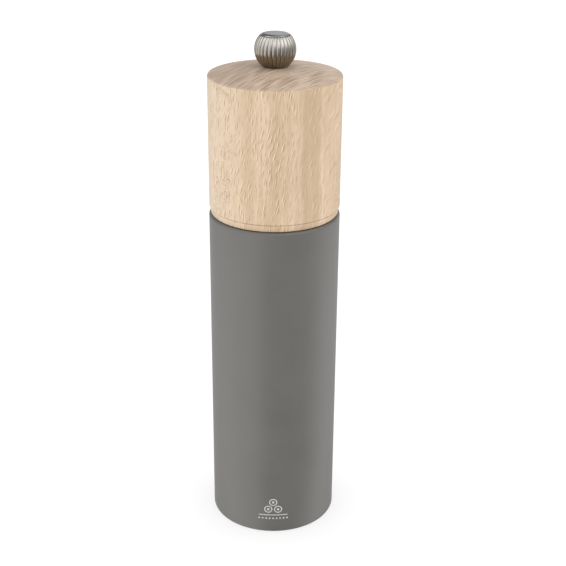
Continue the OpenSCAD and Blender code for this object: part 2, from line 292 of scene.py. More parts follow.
VALUE = "NodeSocketFloat"
print("node helpers ready")

# %% [markdown]
# ## Beech, as a solid texture
# Beech is told by its rays: thin ribbons that run from the heart of the tree outwards. On a face
# cut across them they show as short dark dashes, on a face cut along them as broad flecks, and on
# end grain as fine straight lines. If the texture is a solid one, with cells that are long along
# the ray, thin across it and a few millimetres tall, all three come out by themselves.
# The growth rings are soft bands across the rays.

# %% Beech helpers
RAY_DIRECTION = 68        # degrees from +X in which the rays run at the sides
END_RAY_DIRECTION = 50    # and on the end grain, where they lie flatter


def ray_cells(tree, where, size, low, high, seed, flat=False):
    """Dashes in a solid: cells of a size in mm (across, along, tall) with their middles marked."""
    cells = tree.nodes.new("ShaderNodeTexVoronoi")
    cells.voronoi_dimensions = "2D" if flat else "3D"
    moved = tree.nodes.new("ShaderNodeVectorMath")
    moved.operation = "MULTIPLY_ADD"
    connect(tree, where, moved.inputs[0])
    moved.inputs[1].default_value = [1 / (side * MM) for side in size]
    moved.inputs[2].default_value = (seed, seed, seed)
    connect(tree, moved.outputs[0], cells.inputs["Vector"])
    cells.inputs["Scale"].default_value = 1.0
    dash = soft_step(tree, cells.outputs["Distance"], high, low)
    vary = tree.nodes.new("ShaderNodeSeparateColor")
    connect(tree, cells.outputs["Color"], vary.inputs[0])
    return math_node(tree, "MULTIPLY", dash, soft_step(tree, vary.outputs[0], 0.0, 0.7))


def turned_about_z(tree, vector, degrees):
    turn = tree.nodes.new("ShaderNodeMapping")
    turn.inputs["Rotation"].default_value = (0, 0, math.radians(degrees))
    connect(tree, vector, turn.inputs["Vector"])
    return turn.outputs[0]


def wandering(tree, vector, wander, distance):
    """The vector moved by a noise colour, times a distance for each axis."""
    shift = tree.nodes.new("ShaderNodeVectorMath")
    shift.operation = "MULTIPLY_ADD"
    connect(tree, wander, shift.inputs[0])
    shift.inputs[1].default_value = distance
    connect(tree, vector, shift.inputs[2])
    return shift.outputs[0]


def detailed_noise(tree, vector, detail, distortion=0.0):
    """A noise node that keeps its colour output within reach."""
    node = tree.nodes.new("ShaderNodeTexNoise")
    connect(tree, vector, node.inputs["Vector"])
    node.inputs["Scale"].default_value = 1.0
    node.inputs["Detail"].default_value = detail
    node.inputs["Distortion"].default_value = distortion
    return node


def separated(tree, vector):
    node = tree.nodes.new("ShaderNodeSeparateXYZ")
    connect(tree, vector, node.inputs[0])
    return node


# %% [markdown]
# The dashes of the long grain lean a little, because the fibres climb round the tree. The bold ones
# have a pale edge beside them, and all of them grow faint far from the middle of the block.

# %% Long grain
LEAN = -0.16              # how far a dash moves sideways for each step up


def add_dashes(tree, result, part):
    """Dark and pale dashes. part holds the X, Y and Z of the wandering grain."""
    lean = tree.nodes.new("ShaderNodeCombineXYZ")
    sideways = math_node(tree, "MULTIPLY_ADD", part.outputs["Z"], LEAN, part.outputs["X"])
    connect(tree, sideways, lean.inputs[0])
    connect(tree, part.outputs["Y"], lean.inputs[1])
    connect(tree, part.outputs["Z"], lean.inputs[2])
    leaning = lean.outputs[0]
    beside = tree.nodes.new("ShaderNodeVectorMath")
    connect(tree, leaning, beside.inputs[0])
    beside.inputs[1].default_value = (0.36 * MM, 0, 0)
    off_middle = math_node(tree, "ABSOLUTE", part.outputs["X"])
    away = soft_step(tree, off_middle, 14 * MM, 22 * MM)
    calm = math_node(tree, "MULTIPLY_ADD", away, -0.62, 1.0)
    for label, spot, size, low, high, seed in (
            ("Rays", leaning, (0.64, 9, 6.2), 0.10, 0.38, 0.0),
            ("Fine Rays", leaning, (0.44, 6, 4.4), 0.12, 0.46, 3.7),
            ("Pale Rays", beside.outputs[0], (0.64, 9, 6.2), 0.10, 0.42, 0.0)):
        cells = ray_cells(tree, spot, size, low, high, seed)
        connect(tree, math_node(tree, "MULTIPLY", cells, calm), result.inputs[label])


def add_curls(tree, result, turned, part):
    """Short wavy flecks, where the surface runs nearly along the rays."""
    swirl = detailed_noise(tree, stretched(tree, turned, (330, 330, 300)), 1.0, 1.6)
    off_half = math_node(tree, "SUBTRACT", swirl.outputs["Fac"], 0.5)
    ridge = math_node(tree, "ABSOLUTE", off_half)
    facing = math_node(tree, "MULTIPLY", soft_step(tree, part.outputs["X"], -2 * MM, -7 * MM),
                       soft_step(tree, part.outputs["Y"], -6 * MM, -14 * MM))
    clumps = noise(tree, stretched(tree, turned, (95, 95, 70)), 1.0, 1.0)
    zone = math_node(tree, "MULTIPLY", facing, soft_step(tree, clumps, 0.47, 0.60))
    curls = math_node(tree, "MULTIPLY", soft_step(tree, ridge, 0.034, 0.006), zone)
    connect(tree, curls, result.inputs["Curls"])


# %% [markdown]
# On the end grain the same rays are long fine lines, boldest in the middle of the block and faint
# at its back and sides. Across them run the growth rings, with a soft light side and a firmer
# dark side.

# %% End grain and rings
RING_WIDTH = 3.4 * MM


def add_end_rays(tree, result, where, wander):
    turned = turned_about_z(tree, where, 90 - END_RAY_DIRECTION)
    end_grain = wandering(tree, turned, wander, (1.6 * MM, 5 * MM, 0))
    bold = ray_cells(tree, end_grain, (1.15, 27, 300), 0.06, 0.23, 1.3, flat=True)
    thin = ray_cells(tree, end_grain, (0.78, 16, 300), 0.10, 0.32, 5.9, flat=True)
    pale = ray_cells(tree, end_grain, (0.95, 19, 300), 0.08, 0.36, 11.3, flat=True)
    connect(tree, pale, result.inputs["Pale End Rays"])
    place = separated(tree, where)
    patch = math_node(tree, "MULTIPLY", soft_step(tree, place.outputs["X"], -22 * MM, -14 * MM),
                      soft_step(tree, place.outputs["X"], 23 * MM, 15 * MM))
    back = soft_step(tree, place.outputs["Y"], -4 * MM, 12 * MM)
    fade = math_node(tree, "MULTIPLY_ADD", back, -0.45, 1.0)
    patch = math_node(tree, "MULTIPLY", patch, fade)
    thin_share = math_node(tree, "MULTIPLY_ADD", patch, 0.45, 0.2)
    lines = math_node(tree, "MAXIMUM", math_node(tree, "MULTIPLY", bold, patch),
                      math_node(tree, "MULTIPLY", thin, thin_share))
    connect(tree, lines, result.inputs["End Rays"])


def add_rings(tree, result, part):
    square = math_node(tree, "MULTIPLY", part.outputs["X"], part.outputs["X"])
    bend = math_node(tree, "MULTIPLY", square, 9.0)
    depth = math_node(tree, "ADD", part.outputs["Y"], bend)
    phase = math_node(tree, "FRACT", math_node(tree, "DIVIDE", depth, RING_WIDTH))
    rings = math_node(tree, "MULTIPLY", soft_step(tree, phase, 0.30, 0.92),
                      soft_step(tree, phase, 1.0, 0.94))
    connect(tree, rings, result.inputs["Rings"])
    dark_ring = math_node(tree, "MULTIPLY", soft_step(tree, part.outputs["Y"], -18 * MM, -15 * MM),
                          soft_step(tree, part.outputs["Y"], -8 * MM, -11 * MM))
    connect(tree, dark_ring, result.inputs["Dark Ring"])
    # Painted light and shade on the left half, at -X: the sides are painted paler there, as if lit from
    # the left, and the dome darker, against its sheen on the right.
    left_shading = soft_step(tree, part.outputs["X"], 6 * MM, -16 * MM)
    connect(tree, left_shading, result.inputs["Left Shading"])


# %% [markdown]
# One group holds the whole figure. Its grain wanders a little, so nothing is ruled straight.

# %% Beech figure group
def make_beech_figure():
    marks = ("Rays", "Fine Rays", "Pale Rays", "End Rays", "Pale End Rays", "Rings", "Dark Ring",
             "Left Shading", "Curls", "Pores", "Fibres", "Cloud")
    tree, given, result = new_group("beech figure", {}, {mark: VALUE for mark in marks})
    where = tree.nodes.new("ShaderNodeTexCoord").outputs["Object"]
    turned = turned_about_z(tree, where, 90 - RAY_DIRECTION)
    wander = detailed_noise(tree, stretched(tree, turned, (90, 60, 60)), 4.0).outputs["Color"]
    grain = wandering(tree, turned, wander, (3.0 * MM, 5 * MM, 1.5 * MM))
    part = separated(tree, grain)
    add_dashes(tree, result, part)
    add_curls(tree, result, turned, part)
    add_end_rays(tree, result, where, wander)
    add_rings(tree, result, part)
    for label, scale, roughness in (("Fibres", (1500, 1500, 60), 0.6),
                                    ("Pores", (3600, 3600, 260), 0.6),
                                    ("Cloud", (150, 60, 9), 0.5)):
        speckle = noise(tree, stretched(tree, grain, scale), 1.0, 3.0, roughness)
        connect(tree, speckle, result.inputs[label])
    return tree


beech_figure = make_beech_figure()
print("beech figure:", len(beech_figure.nodes), "nodes")

# %% [markdown]
# Three finishes share the figure: oiled wood on the sides, end grain on the dome, and bare wood
# inside. Each gives its own colours and says how strongly every kind of mark shows.

# %% Beech materials
def make_beech(name, pale, warm, deep, left_shade, dark, rough, gloss, depths):
    """Beech from five colours: pale and warm wood, a deep ring, a colour for painted light and shade on
    the left, and dark rays.
    """
    material, tree, shader = new_material(name, Roughness=rough, Specular_IOR_Level=gloss)
    figure = place_group(tree, beech_figure)
    cloud = soft_step(tree, figure.outputs["Cloud"], 0.32, 0.70)
    tone = mix_colors(tree, cloud, pale, warm)
    bright = tuple(min(1.0, channel * 1.15) for channel in pale[:3]) + (1,)
    fibres = soft_step(tree, figure.outputs["Fibres"], 0.36, 0.66)
    tone = mix_colors(tree, math_node(tree, "MULTIPLY", fibres, 0.7), tone, warm)
    targets = {"Rings": warm, "Dark Ring": deep, "Left Shading": left_shade, "Pale Rays": bright,
               "Pale End Rays": bright}
    for label, depth in depths.items():
        amount = math_node(tree, "MULTIPLY", figure.outputs[label], depth)
        tone = mix_colors(tree, amount, tone, targets.get(label, dark))
    pores = soft_step(tree, figure.outputs["Pores"], 0.45, 0.75)
    tone = mix_colors(tree, math_node(tree, "MULTIPLY", pores, 0.16), tone, dark)
    connect(tree, tone, shader.inputs["Base Color"])
    dips = math_node(tree, "ADD", figure.outputs["Rays"], math_node(tree, "MULTIPLY", pores, 0.5))
    bump(tree, shader, math_node(tree, "SUBTRACT", 1.0, dips), 0.03 * MM)
    return material


SIDE_GRAIN = {"Rings": 0.45, "Dark Ring": 0.6, "Left Shading": 0.75, "Pale Rays": 0.90,
              "Fine Rays": 0.62, "Curls": 0.55, "Rays": 0.85}
END_GRAIN = {"Rings": 0.5, "Left Shading": 0.8, "Fine Rays": 0.06, "Pale End Rays": 1.0,
             "End Rays": 1.0}
# The fourth colour is painted light and shade on the left: paler than the wood on the sides and inside,
# darker on the end grain.
beech = make_beech("oiled beech", (0.765, 0.590, 0.425, 1), (0.600, 0.440, 0.288, 1),
                   (0.520, 0.372, 0.235, 1), (0.785, 0.642, 0.485, 1), (0.36, 0.225, 0.12, 1),
                   0.5, 0.45, SIDE_GRAIN)
beech_end = make_beech("beech end grain", (0.650, 0.500, 0.385, 1), (0.515, 0.390, 0.288, 1),
                       (0.45, 0.335, 0.25, 1), (0.440, 0.338, 0.258, 1), (0.165, 0.095, 0.050, 1),
                       0.5, 0.45, END_GRAIN)
bare_beech = make_beech("bare beech", (0.66, 0.49, 0.34, 1), (0.58, 0.42, 0.28, 1),
                        (0.50, 0.355, 0.23, 1), (0.70, 0.56, 0.41, 1), (0.36, 0.22, 0.12, 1),
                        0.8, 0.15, SIDE_GRAIN)
print("beech:", beech.name, beech_end.name, bare_beech.name)

# %% [markdown]
# ## Grey lacquer
# The body is sprayed with a matt grey lacquer. Up close such a coat has a very fine orange peel,
# slightly glossier and duller patches, and a hint of the grain that has sunk in under it.

# %% Lacquer
def make_coat_texture():
    tree, given, result = new_group("coat texture", {"Grain Show": 0.3},
                                    {"Height": VALUE, "Patches": VALUE, "Specks": VALUE})
    where = tree.nodes.new("ShaderNodeTexCoord").outputs["Object"]
    peel = noise(tree, where, 1400.0, 2.0)
    sunk = noise(tree, stretched(tree, where, (2600, 2600, 90)), 1.0, 2.0)
    grain = math_node(tree, "MULTIPLY", sunk, given.outputs["Grain Show"])
    connect(tree, math_node(tree, "ADD", peel, grain), result.inputs["Height"])
    connect(tree, noise(tree, where, 45.0, 4.0, 0.6), result.inputs["Patches"])
    connect(tree, soft_step(tree, noise(tree, where, 5200.0, 1.0), 0.66, 0.80), result.inputs["Specks"])
    return tree


coat_texture = make_coat_texture()


def make_lacquer():
    material, tree, shader = new_material("grey lacquer", Specular_IOR_Level=0.45)
    coat = place_group(tree, coat_texture, Grain_Show=0.6)
    patches = soft_step(tree, coat.outputs["Patches"], 0.3, 0.7)
    tone = mix_colors(tree, patches, (0.134, 0.129, 0.121, 1), (0.143, 0.138, 0.129, 1))
    specks = math_node(tree, "MULTIPLY", coat.outputs["Specks"], 0.25)
    connect(tree, mix_colors(tree, specks, tone, (0.19, 0.187, 0.18, 1)), shader.inputs["Base Color"])
    rough = math_node(tree, "MULTIPLY_ADD", patches, 0.04, 0.36)
    connect(tree, rough, shader.inputs["Roughness"])
    bump(tree, shader, coat.outputs["Height"], 0.012 * MM)
    return material


lacquer = make_lacquer()
print("lacquer:", lacquer.name)

# %% [markdown]
# ## Metals, brass and nylon
# A steel part shows how it was made: the knob is polished in its length, the disc is spun, the
# stamped plates are brushed one way, and the burrs are hardened dark. One group makes the lines
# for all of them. It only needs to know in which direction the scratches are long.

# %% Brushing group and metals
def make_brushing():
    tree, given, result = new_group(
        "brushing", {"Across X": 1.0, "Across Y": 1.0, "Across Z": 1.0},
        {"Lines": VALUE, "Smudges": VALUE})
    where = tree.nodes.new("ShaderNodeTexCoord").outputs["Object"]
    split = tree.nodes.new("ShaderNodeSeparateXYZ")
    connect(tree, where, split.inputs[0])
    join = tree.nodes.new("ShaderNodeCombineXYZ")
    for axis in "XYZ":
        across = math_node(tree, "MULTIPLY", split.outputs[axis], given.outputs["Across " + axis])
        connect(tree, across, join.inputs[axis])
    connect(tree, noise(tree, join.outputs[0], 4000.0, 3.0, 0.6), result.inputs["Lines"])
    connect(tree, noise(tree, where, 160.0, 4.0, 0.6), result.inputs["Smudges"])
    return tree


brushing = make_brushing()


def make_metal(name, color, dull, rough, lines, metallic=1.0, depth=0.004, painted_shade=None):
    """A metal with brushed lines. lines gives how fast the brushing changes along X, Y and Z.
    The last argument is painted shade: (height where it starts, height where it is full, share of the
    color left)."""
    material, tree, shader = new_material(name, metallic)
    brushed = place_group(tree, brushing, Across_X=lines[0], Across_Y=lines[1], Across_Z=lines[2])
    smudge = soft_step(tree, brushed.outputs["Smudges"], 0.35, 0.7)
    tone = mix_colors(tree, smudge, color, dull)
    # Painted shade: low down the colour turns darker and browner, standing in for the dimmer reflections
    # of the wood there.
    if painted_shade:
        start, full, left = painted_shade
        split = tree.nodes.new("ShaderNodeSeparateXYZ")
        connect(tree, tree.nodes.new("ShaderNodeTexCoord").outputs["Object"], split.inputs[0])
        shaded_low_part = soft_step(tree, split.outputs["Z"], start, full)
        shade_color = (color[0] * left, color[1] * left * 0.90, color[2] * left * 0.74, 1)
        tone = mix_colors(tree, shaded_low_part, tone, shade_color)
    connect(tree, tone, shader.inputs["Base Color"])
    spread = math_node(tree, "MULTIPLY_ADD", brushed.outputs["Lines"], 0.16, rough - 0.08)
    spread = math_node(tree, "MULTIPLY_ADD", smudge, 0.05, spread, clamp=True)
    connect(tree, spread, shader.inputs["Roughness"])
    bump(tree, shader, brushed.outputs["Lines"], depth * MM)
    return material


# Painted shade on the knob, starting 9 mm above its foot and full at 4.2 mm.
KNOB_PAINTED_SHADE = (knob_foot + 9.0 * MM, knob_foot + 4.2 * MM, 0.48)
knob_steel = make_metal("polished ribbed steel", (0.53, 0.50, 0.465, 1), (0.43, 0.41, 0.375, 1),
                        0.27, (1, 1, 0.06), depth=0.002, painted_shade=KNOB_PAINTED_SHADE)
disc_steel = make_metal("satin disc", (0.62, 0.62, 0.63, 1), (0.55, 0.55, 0.56, 1), 0.28,
                        (1, 0.04, 1), depth=0.002)
plate_steel = make_metal("stamped steel", (0.60, 0.60, 0.60, 1), (0.50, 0.50, 0.50, 1), 0.34,
                         (0.05, 1, 1))
shaft_steel = make_metal("drawn steel", (0.64, 0.64, 0.64, 1), (0.55, 0.55, 0.55, 1), 0.30,
                         (1, 1, 0.03))
wire_steel = make_metal("spring wire", (0.50, 0.50, 0.52, 1), (0.40, 0.40, 0.42, 1), 0.32,
                        (1, 1, 1))
burr_steel = make_metal("hardened burr steel", (0.20, 0.20, 0.21, 1), (0.13, 0.13, 0.135, 1), 0.42,
                        (1, 1, 0.2), depth=0.008)
brass = make_metal("turned brass", (0.72, 0.52, 0.22, 1), (0.60, 0.42, 0.17, 1), 0.30,
                   (0.05, 0.05, 1))


def make_nylon():
    material, tree, shader = new_material("natural nylon", Subsurface_Weight=0.15, Specular_IOR_Level=0.4)
    shader.inputs["Subsurface Radius"].default_value = (1 * MM, 0.8 * MM, 0.6 * MM)
    shader.inputs["Subsurface Scale"].default_value = 1.0
    coat = place_group(tree, coat_texture, Grain_Show=0.0)
    patches = soft_step(tree, coat.outputs["Patches"], 0.3, 0.7)
    connect(tree, mix_colors(tree, patches, (0.80, 0.78, 0.71, 1), (0.74, 0.71, 0.62, 1)),
            shader.inputs["Base Color"])
    connect(tree, math_node(tree, "MULTIPLY_ADD", patches, 0.1, 0.42), shader.inputs["Roughness"])
    bump(tree, shader, coat.outputs["Height"], 0.006 * MM)
    return material


nylon = make_nylon()
print("metals and nylon ready")

# %% [markdown]
# ## The body
# The body is a tall turned cylinder, bored right through: an outlet recess below, a bore for the
# grinder, the pepper chamber, and a wider mouth for the spigot. Its foot is crisp, and its top
# edge is rounded so that it throws a fine shadow line under the head. It is lacquered outside
# and left bare where the pepper lies.

# %% Body
def paint_faces(piece, slot_index, wanted):
    """Gives the faces that pass the test another of the piece's materials."""
    for face in piece.data.polygons:
        if wanted(face.center, face.normal):
            face.material_index = slot_index


def out_from_axis(point):
    return math.hypot(point.x, point.y)


foot_chamfer, top_round, bore_round = 0.5 * MM, 1.0 * MM, 0.4 * MM
body_outline = (
    [(body_radius - foot_chamfer, 0), (body_radius - 0.15 * MM, 0.15 * MM), (body_radius, foot_chamfer),
     (body_radius, body_top * 0.25), (body_radius, body_top * 0.5), (body_radius, body_top * 0.75)]
    + arc((body_radius - top_round, body_top - top_round), top_round, 0, 90, 8)
    + arc((mouth_radius + bore_round, body_top - bore_round), bore_round, 90, 180, 4)
    + [(mouth_radius, mouth_floor), (hopper_radius + bore_round, mouth_floor)]
    + arc((hopper_radius + bore_round, mouth_floor - bore_round), bore_round, 90, 180, 3)[1:]
    + [(hopper_radius, bridge_ledge), (grinder_bore, bridge_ledge), (grinder_bore, outlet_top),
       (outlet_radius, outlet_top)]
    + arc((outlet_radius + bore_round, bore_round), bore_round, 180, 270, 4))
body = turned("body", body_outline)
for finish in (lacquer, bare_beech):
    body.data.materials.append(finish)
paint_faces(body, 1, lambda c, n: out_from_axis(c) < mouth_radius + bore_round and c.z > 0.3 * MM)
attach(body, "mill_body")
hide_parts("body_shell")

# %% [markdown]
# ## The head
# The head is turned from one block, and its grain runs up and down, so its sides show long grain
# and its shallow dome shows end grain. A small step and a taper make the band over the joint. The
# spigot below goes down into the body and keeps the head centred.

# %% Head
edge_round = 0.5 * MM
band_top = body_top + 3 * MM
joint_radius = head_radius - 0.7 * MM
shadow_gap, shadow_gap_depth = 0.42 * MM, 1.0 * MM
edge_height = body_top + 56 * MM
dome_rise = head_top - edge_height
dome_radius = (head_radius ** 2 + dome_rise ** 2) / (2 * dome_rise)
dome_center = (0, head_top - dome_radius)
dome_edge = math.degrees(math.acos((head_radius - 0.3 * MM) / dome_radius))
dome_middle = math.degrees(math.acos((shaft_bore + 0.2 * MM) / dome_radius))
head_outline = (
    [(shaft_bore, spigot_bottom), (spigot_radius - bore_round, spigot_bottom)]
    + arc((spigot_radius - bore_round, spigot_bottom + bore_round), bore_round, -90, 0, 4)[1:]
    + [(spigot_radius, body_top), (joint_radius - shadow_gap_depth, body_top),
       (joint_radius - shadow_gap_depth, body_top + shadow_gap),
       (joint_radius - 0.1 * MM, body_top + shadow_gap),
       (joint_radius, body_top + shadow_gap + 0.1 * MM), (joint_radius + 0.45 * MM, band_top - 0.12 * MM),
       (joint_radius + 0.38 * MM, band_top), (joint_radius + 0.18 * MM, band_top),
       (joint_radius + 0.18 * MM, band_top + 0.25 * MM), (head_radius - 0.1 * MM, band_top + 0.25 * MM),
       (head_radius, band_top + 0.35 * MM)]
    + [(head_radius, band_top + (edge_height - band_top) * share) for share in (0.33, 0.66)]
    + arc((head_radius - edge_round, edge_height - edge_round), edge_round, 0, 65, 5)
    + arc(dome_center, dome_radius, dome_edge, dome_middle, 16)
    + [(shaft_bore, head_top - 0.3 * MM)])
head = turned("head", head_outline)
for finish in (beech, beech_end, bare_beech):
    head.data.materials.append(finish)
paint_faces(head, 1, lambda c, n: n.z > 0.5 and c.z > edge_height - edge_round)
paint_faces(head, 2, lambda c, n: c.z < body_top + 0.01 * MM or out_from_axis(c) < shaft_bore + 0.3 * MM)
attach(head, "head")
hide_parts("head_wood")

# %% [markdown]
# ## The knob
# The knob is a ball with a flat top. Its ribs are rounded and the grooves between them are narrow,
# so a plain wave would look wrong. Here each rib has ten sides on a ring, and the ring is shaped
# once: the sides near a groove are drawn in, and then the ring is walked up the ball.

# %% Knob
RIBS = 28
SIDES_PER_RIB = 10
GROOVE_DEPTH = 0.064      # share of the ring's radius
CREST_ROUND = 0.97        # 0 leaves the ribs flat, 1 makes them half round
FIRST_GROOVE = math.radians(3.1)


def select_vertices(piece, chosen):
    """Selects the vertices of these numbers in edit mode."""
    bpy.ops.mesh.select_all(action="DESELECT")
    bpy.ops.object.mode_set(mode="OBJECT")
    for vertex in piece.data.vertices:
        vertex.select = vertex.index in chosen
    bpy.ops.object.mode_set(mode="EDIT")


def shape_ribs(piece, undo=False):
    """Draws the selected ring in at its grooves, or lets it out until it is round again."""
    bpy.ops.object.mode_set(mode="OBJECT")
    ring = {v.index: v.co.copy() for v in piece.data.vertices if v.select}
    bpy.ops.object.mode_set(mode="EDIT")
    height = next(iter(ring.values())).z
    side = math.tau / (RIBS * SIDES_PER_RIB)
    phases = {i: round((math.atan2(co.x, -co.y) - FIRST_GROOVE) / side) % SIDES_PER_RIB
              for i, co in ring.items()}
    for phase in range(SIDES_PER_RIB):
        off_crest = abs(2 * phase / SIDES_PER_RIB - 1)
        size = 1 - GROOVE_DEPTH * (1 - math.sqrt(1 - CREST_ROUND * off_crest ** 2))
        size = 1 / size if undo else size
        select_vertices(piece, {i for i in ring if phases[i] == phase})
        bpy.ops.transform.resize(value=(size, size, 1), center_override=(0, 0, height))
    select_vertices(piece, set(ring))


foot_radius = shaft_bore + 1.236 * MM
insert_radius = reach("knob_insert")
cap_hole = reach("knob_cap") + 0.25 * MM
rim_radius = cap_hole + 0.22 * MM
cap_floor = span("knob_cap")[0]
knob_middle = knob_foot + math.sqrt(knob_radius ** 2 - foot_radius ** 2)
shoulder = 3.0 * MM
shoulder_height = knob_top - shoulder
shoulder_reach = math.sqrt((knob_radius - shoulder) ** 2 - (shoulder_height - knob_middle) ** 2)
foot_angle = -math.degrees(math.acos(foot_radius / knob_radius))
shoulder_angle = math.degrees(math.atan2(shoulder_height - knob_middle, shoulder_reach))
rim_angle = math.degrees(math.acos((rim_radius - shoulder_reach) / shoulder))
ball = (arc((0, knob_middle), knob_radius, foot_angle, shoulder_angle, 22)
        + arc((shoulder_reach, shoulder_height), shoulder, shoulder_angle, rim_angle, 9)[1:])
rim_height = ball[-1][1] + 0.05 * MM
knob = start_ring("knob", *ball[0], RIBS * SIDES_PER_RIB, FIRST_GROOVE)
shape_ribs(knob)
turn_ring(ball)
shape_ribs(knob, undo=True)
turn_ring([ball[-1], (rim_radius - 0.10 * MM, rim_height), (cap_hole, rim_height - 0.10 * MM),
           (cap_hole, cap_floor), (insert_radius, cap_floor), (insert_radius, knob_foot), ball[0]])
shape_ribs(knob)
close_mesh()
settle(knob, 60)
knob.data.materials.append(knob_steel)
print("knob", len(knob.data.polygons), "faces")
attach(knob, "knob")
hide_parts("knob_shell")

# %% [markdown]
# ## The disc in the knob
# A spun disc closes the knob. It carries on the round of the ribbed shoulder, so it gathers a
# dark crescent where it turns down towards its edge. A lathe outline would leave a pinhole at the
# axis, so a solid piece is walked up from a filled circle instead, and ends in another one.

# %% Disc
def solid_turned(name, outline, sides=SMOOTH):
    """A turned solid without a bore. The outline is open, and both its ends are filled."""
    deselect()
    bpy.ops.mesh.primitive_circle_add(vertices=sides, radius=outline[0][0], fill_type="NGON",
                                      location=(0, 0, outline[0][1]))
    piece = bpy.context.object
    piece.name = name
    piece.data.name = name
    bpy.ops.object.transform_apply(location=True, rotation=True)
    bpy.ops.object.mode_set(mode="EDIT")
    bpy.ops.mesh.select_all(action="SELECT")
    turn_ring(outline)
    close_mesh()
    settle(piece)
    print(f"{name}: {len(piece.data.polygons)} faces")
    return piece


disc_radius = reach("knob_cap")
disc_angle = math.degrees(math.acos((disc_radius - shoulder_reach) / shoulder))
disc_edge = arc((shoulder_reach, shoulder_height), shoulder, disc_angle, 90, 12)
disc_outline = (
    [(disc_radius - 0.1 * MM, cap_floor), (disc_radius, cap_floor + 0.1 * MM),
     (disc_radius, disc_edge[0][1] - 0.08 * MM)] + disc_edge[1:]
    + [(shoulder_reach * share, knob_top + 0.004 * MM * (1 - share)) for share in (0.7, 0.4, 0.12)])
disc = solid_turned("disc", disc_outline, 96)
disc.data.materials.append(disc_steel)
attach(disc, "knob")
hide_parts("knob_cap")

# %% [markdown]
# ## The drive shaft
# The shaft is square where it drives the burr, so the head can slide on it, and round and
# threaded at its tip for the knob. The square part is a cube with bevelled edges. The thread is
# a small triangle that a Screw modifier winds up the round part. Both overlap in one mesh, as a
# rolled thread stands on its core.

# %% Shaft helpers
def join_into(name, *parts):
    """Joins parts into one mesh."""
    deselect()
    for part in parts:
        part.select_set(True)
    bpy.context.view_layer.objects.active = parts[0]
    bpy.ops.object.join()
    parts[0].name = name
    parts[0].data.name = name
    return parts[0]


def thread_ridge(name, root, crest, pitch, bottom, top):
    """A helical ridge: a triangle wound up the axis, and closed at its two ends."""
    deselect()
    bpy.ops.mesh.primitive_circle_add(vertices=3, radius=1 * MM, fill_type="NOTHING", location=(0, 0, 0))
    ridge = bpy.context.object
    corners = ((root, -pitch * 0.44), (root, pitch * 0.44), (crest, 0))
    for vertex, (radius, height) in zip(ridge.data.vertices, corners):
        vertex.co = (radius, 0, bottom + height)
    winding = ridge.modifiers.new("winding", "SCREW")
    winding.screw_offset = pitch
    winding.iterations = int((top - bottom) / pitch)
    winding.steps = 24
    winding.render_steps = 24
    winding.use_merge_vertices = False
    bpy.ops.object.modifier_apply(modifier="winding")
    bpy.ops.object.mode_set(mode="EDIT")
    bpy.ops.mesh.select_all(action="SELECT")
    bpy.ops.mesh.fill_holes(sides=3)
    close_mesh()
    print(f"{name}: {len(ridge.data.vertices)} vertices")
    return ridge


def round_bar(name, radius, bottom, top, chamfer):
    """A round bar with chamfered ends."""
    return solid_turned(name, [(radius - chamfer, bottom), (radius, bottom + chamfer),
                               (radius, top - chamfer), (radius - chamfer, top)], 48)


# %% [markdown]
# With the helpers in place, the shaft is four round parts joined to one square part.

# %% Shaft
shaft_bottom, shaft_top = span("drive_shaft")
shaft_half = reach("drive_shaft")
square_bottom, square_top = span("rotor_burr")[0], knob_foot - 10.9 * MM
tip_core, tip_crest, tip_pitch = shaft_half - 0.38 * MM, shaft_half - 0.02 * MM, 0.8 * MM
pilot_core, pilot_crest, pilot_pitch = 1.7 * MM, 1.98 * MM, 0.7 * MM
ridge_root = 0.04 * MM    # how deep a ridge stands in its core
core_chamfer, sunk = 0.2 * MM, 0.1 * MM
deselect()
bpy.ops.mesh.primitive_cube_add(size=1, location=(0, 0, (square_bottom + square_top) / 2))
square = bpy.context.object
square.scale = (2 * shaft_half, 2 * shaft_half, square_top - square_bottom)
bpy.ops.object.transform_apply(location=True, scale=True)
bpy.ops.object.mode_set(mode="EDIT")
bpy.ops.mesh.select_all(action="SELECT")
bpy.ops.mesh.bevel(offset=0.3 * MM, segments=3)
bpy.ops.object.mode_set(mode="OBJECT")
shaft = join_into(
    "shaft", square,
    round_bar("tip", tip_core, square_top - sunk, shaft_top, core_chamfer),
    thread_ridge("tip thread", tip_core - ridge_root, tip_crest, tip_pitch,
                 square_top + 1.2 * MM, shaft_top - 0.5 * MM),
    round_bar("pilot", pilot_core, shaft_bottom, square_bottom + sunk, core_chamfer),
    thread_ridge("pilot thread", pilot_core - ridge_root, pilot_crest, pilot_pitch,
                 shaft_bottom + 0.5 * MM, square_bottom))
settle(shaft, 30)
shaft.data.materials.append(shaft_steel)
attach(shaft, "shaft")
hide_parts("drive_shaft")
print("shaft", len(shaft.data.polygons), "faces")

# %% [markdown]
# ## The spring
# A compression spring is wound close at both ends, so it can stand square, and open between. A
# small ring is extruded round the axis in short steps, and each step also lifts it: a little in
# the end coils and more in the open ones. In the mill the spring shortens as the knob is turned,
# towards the bridge, where its upper end rests; here it is wound at one length.

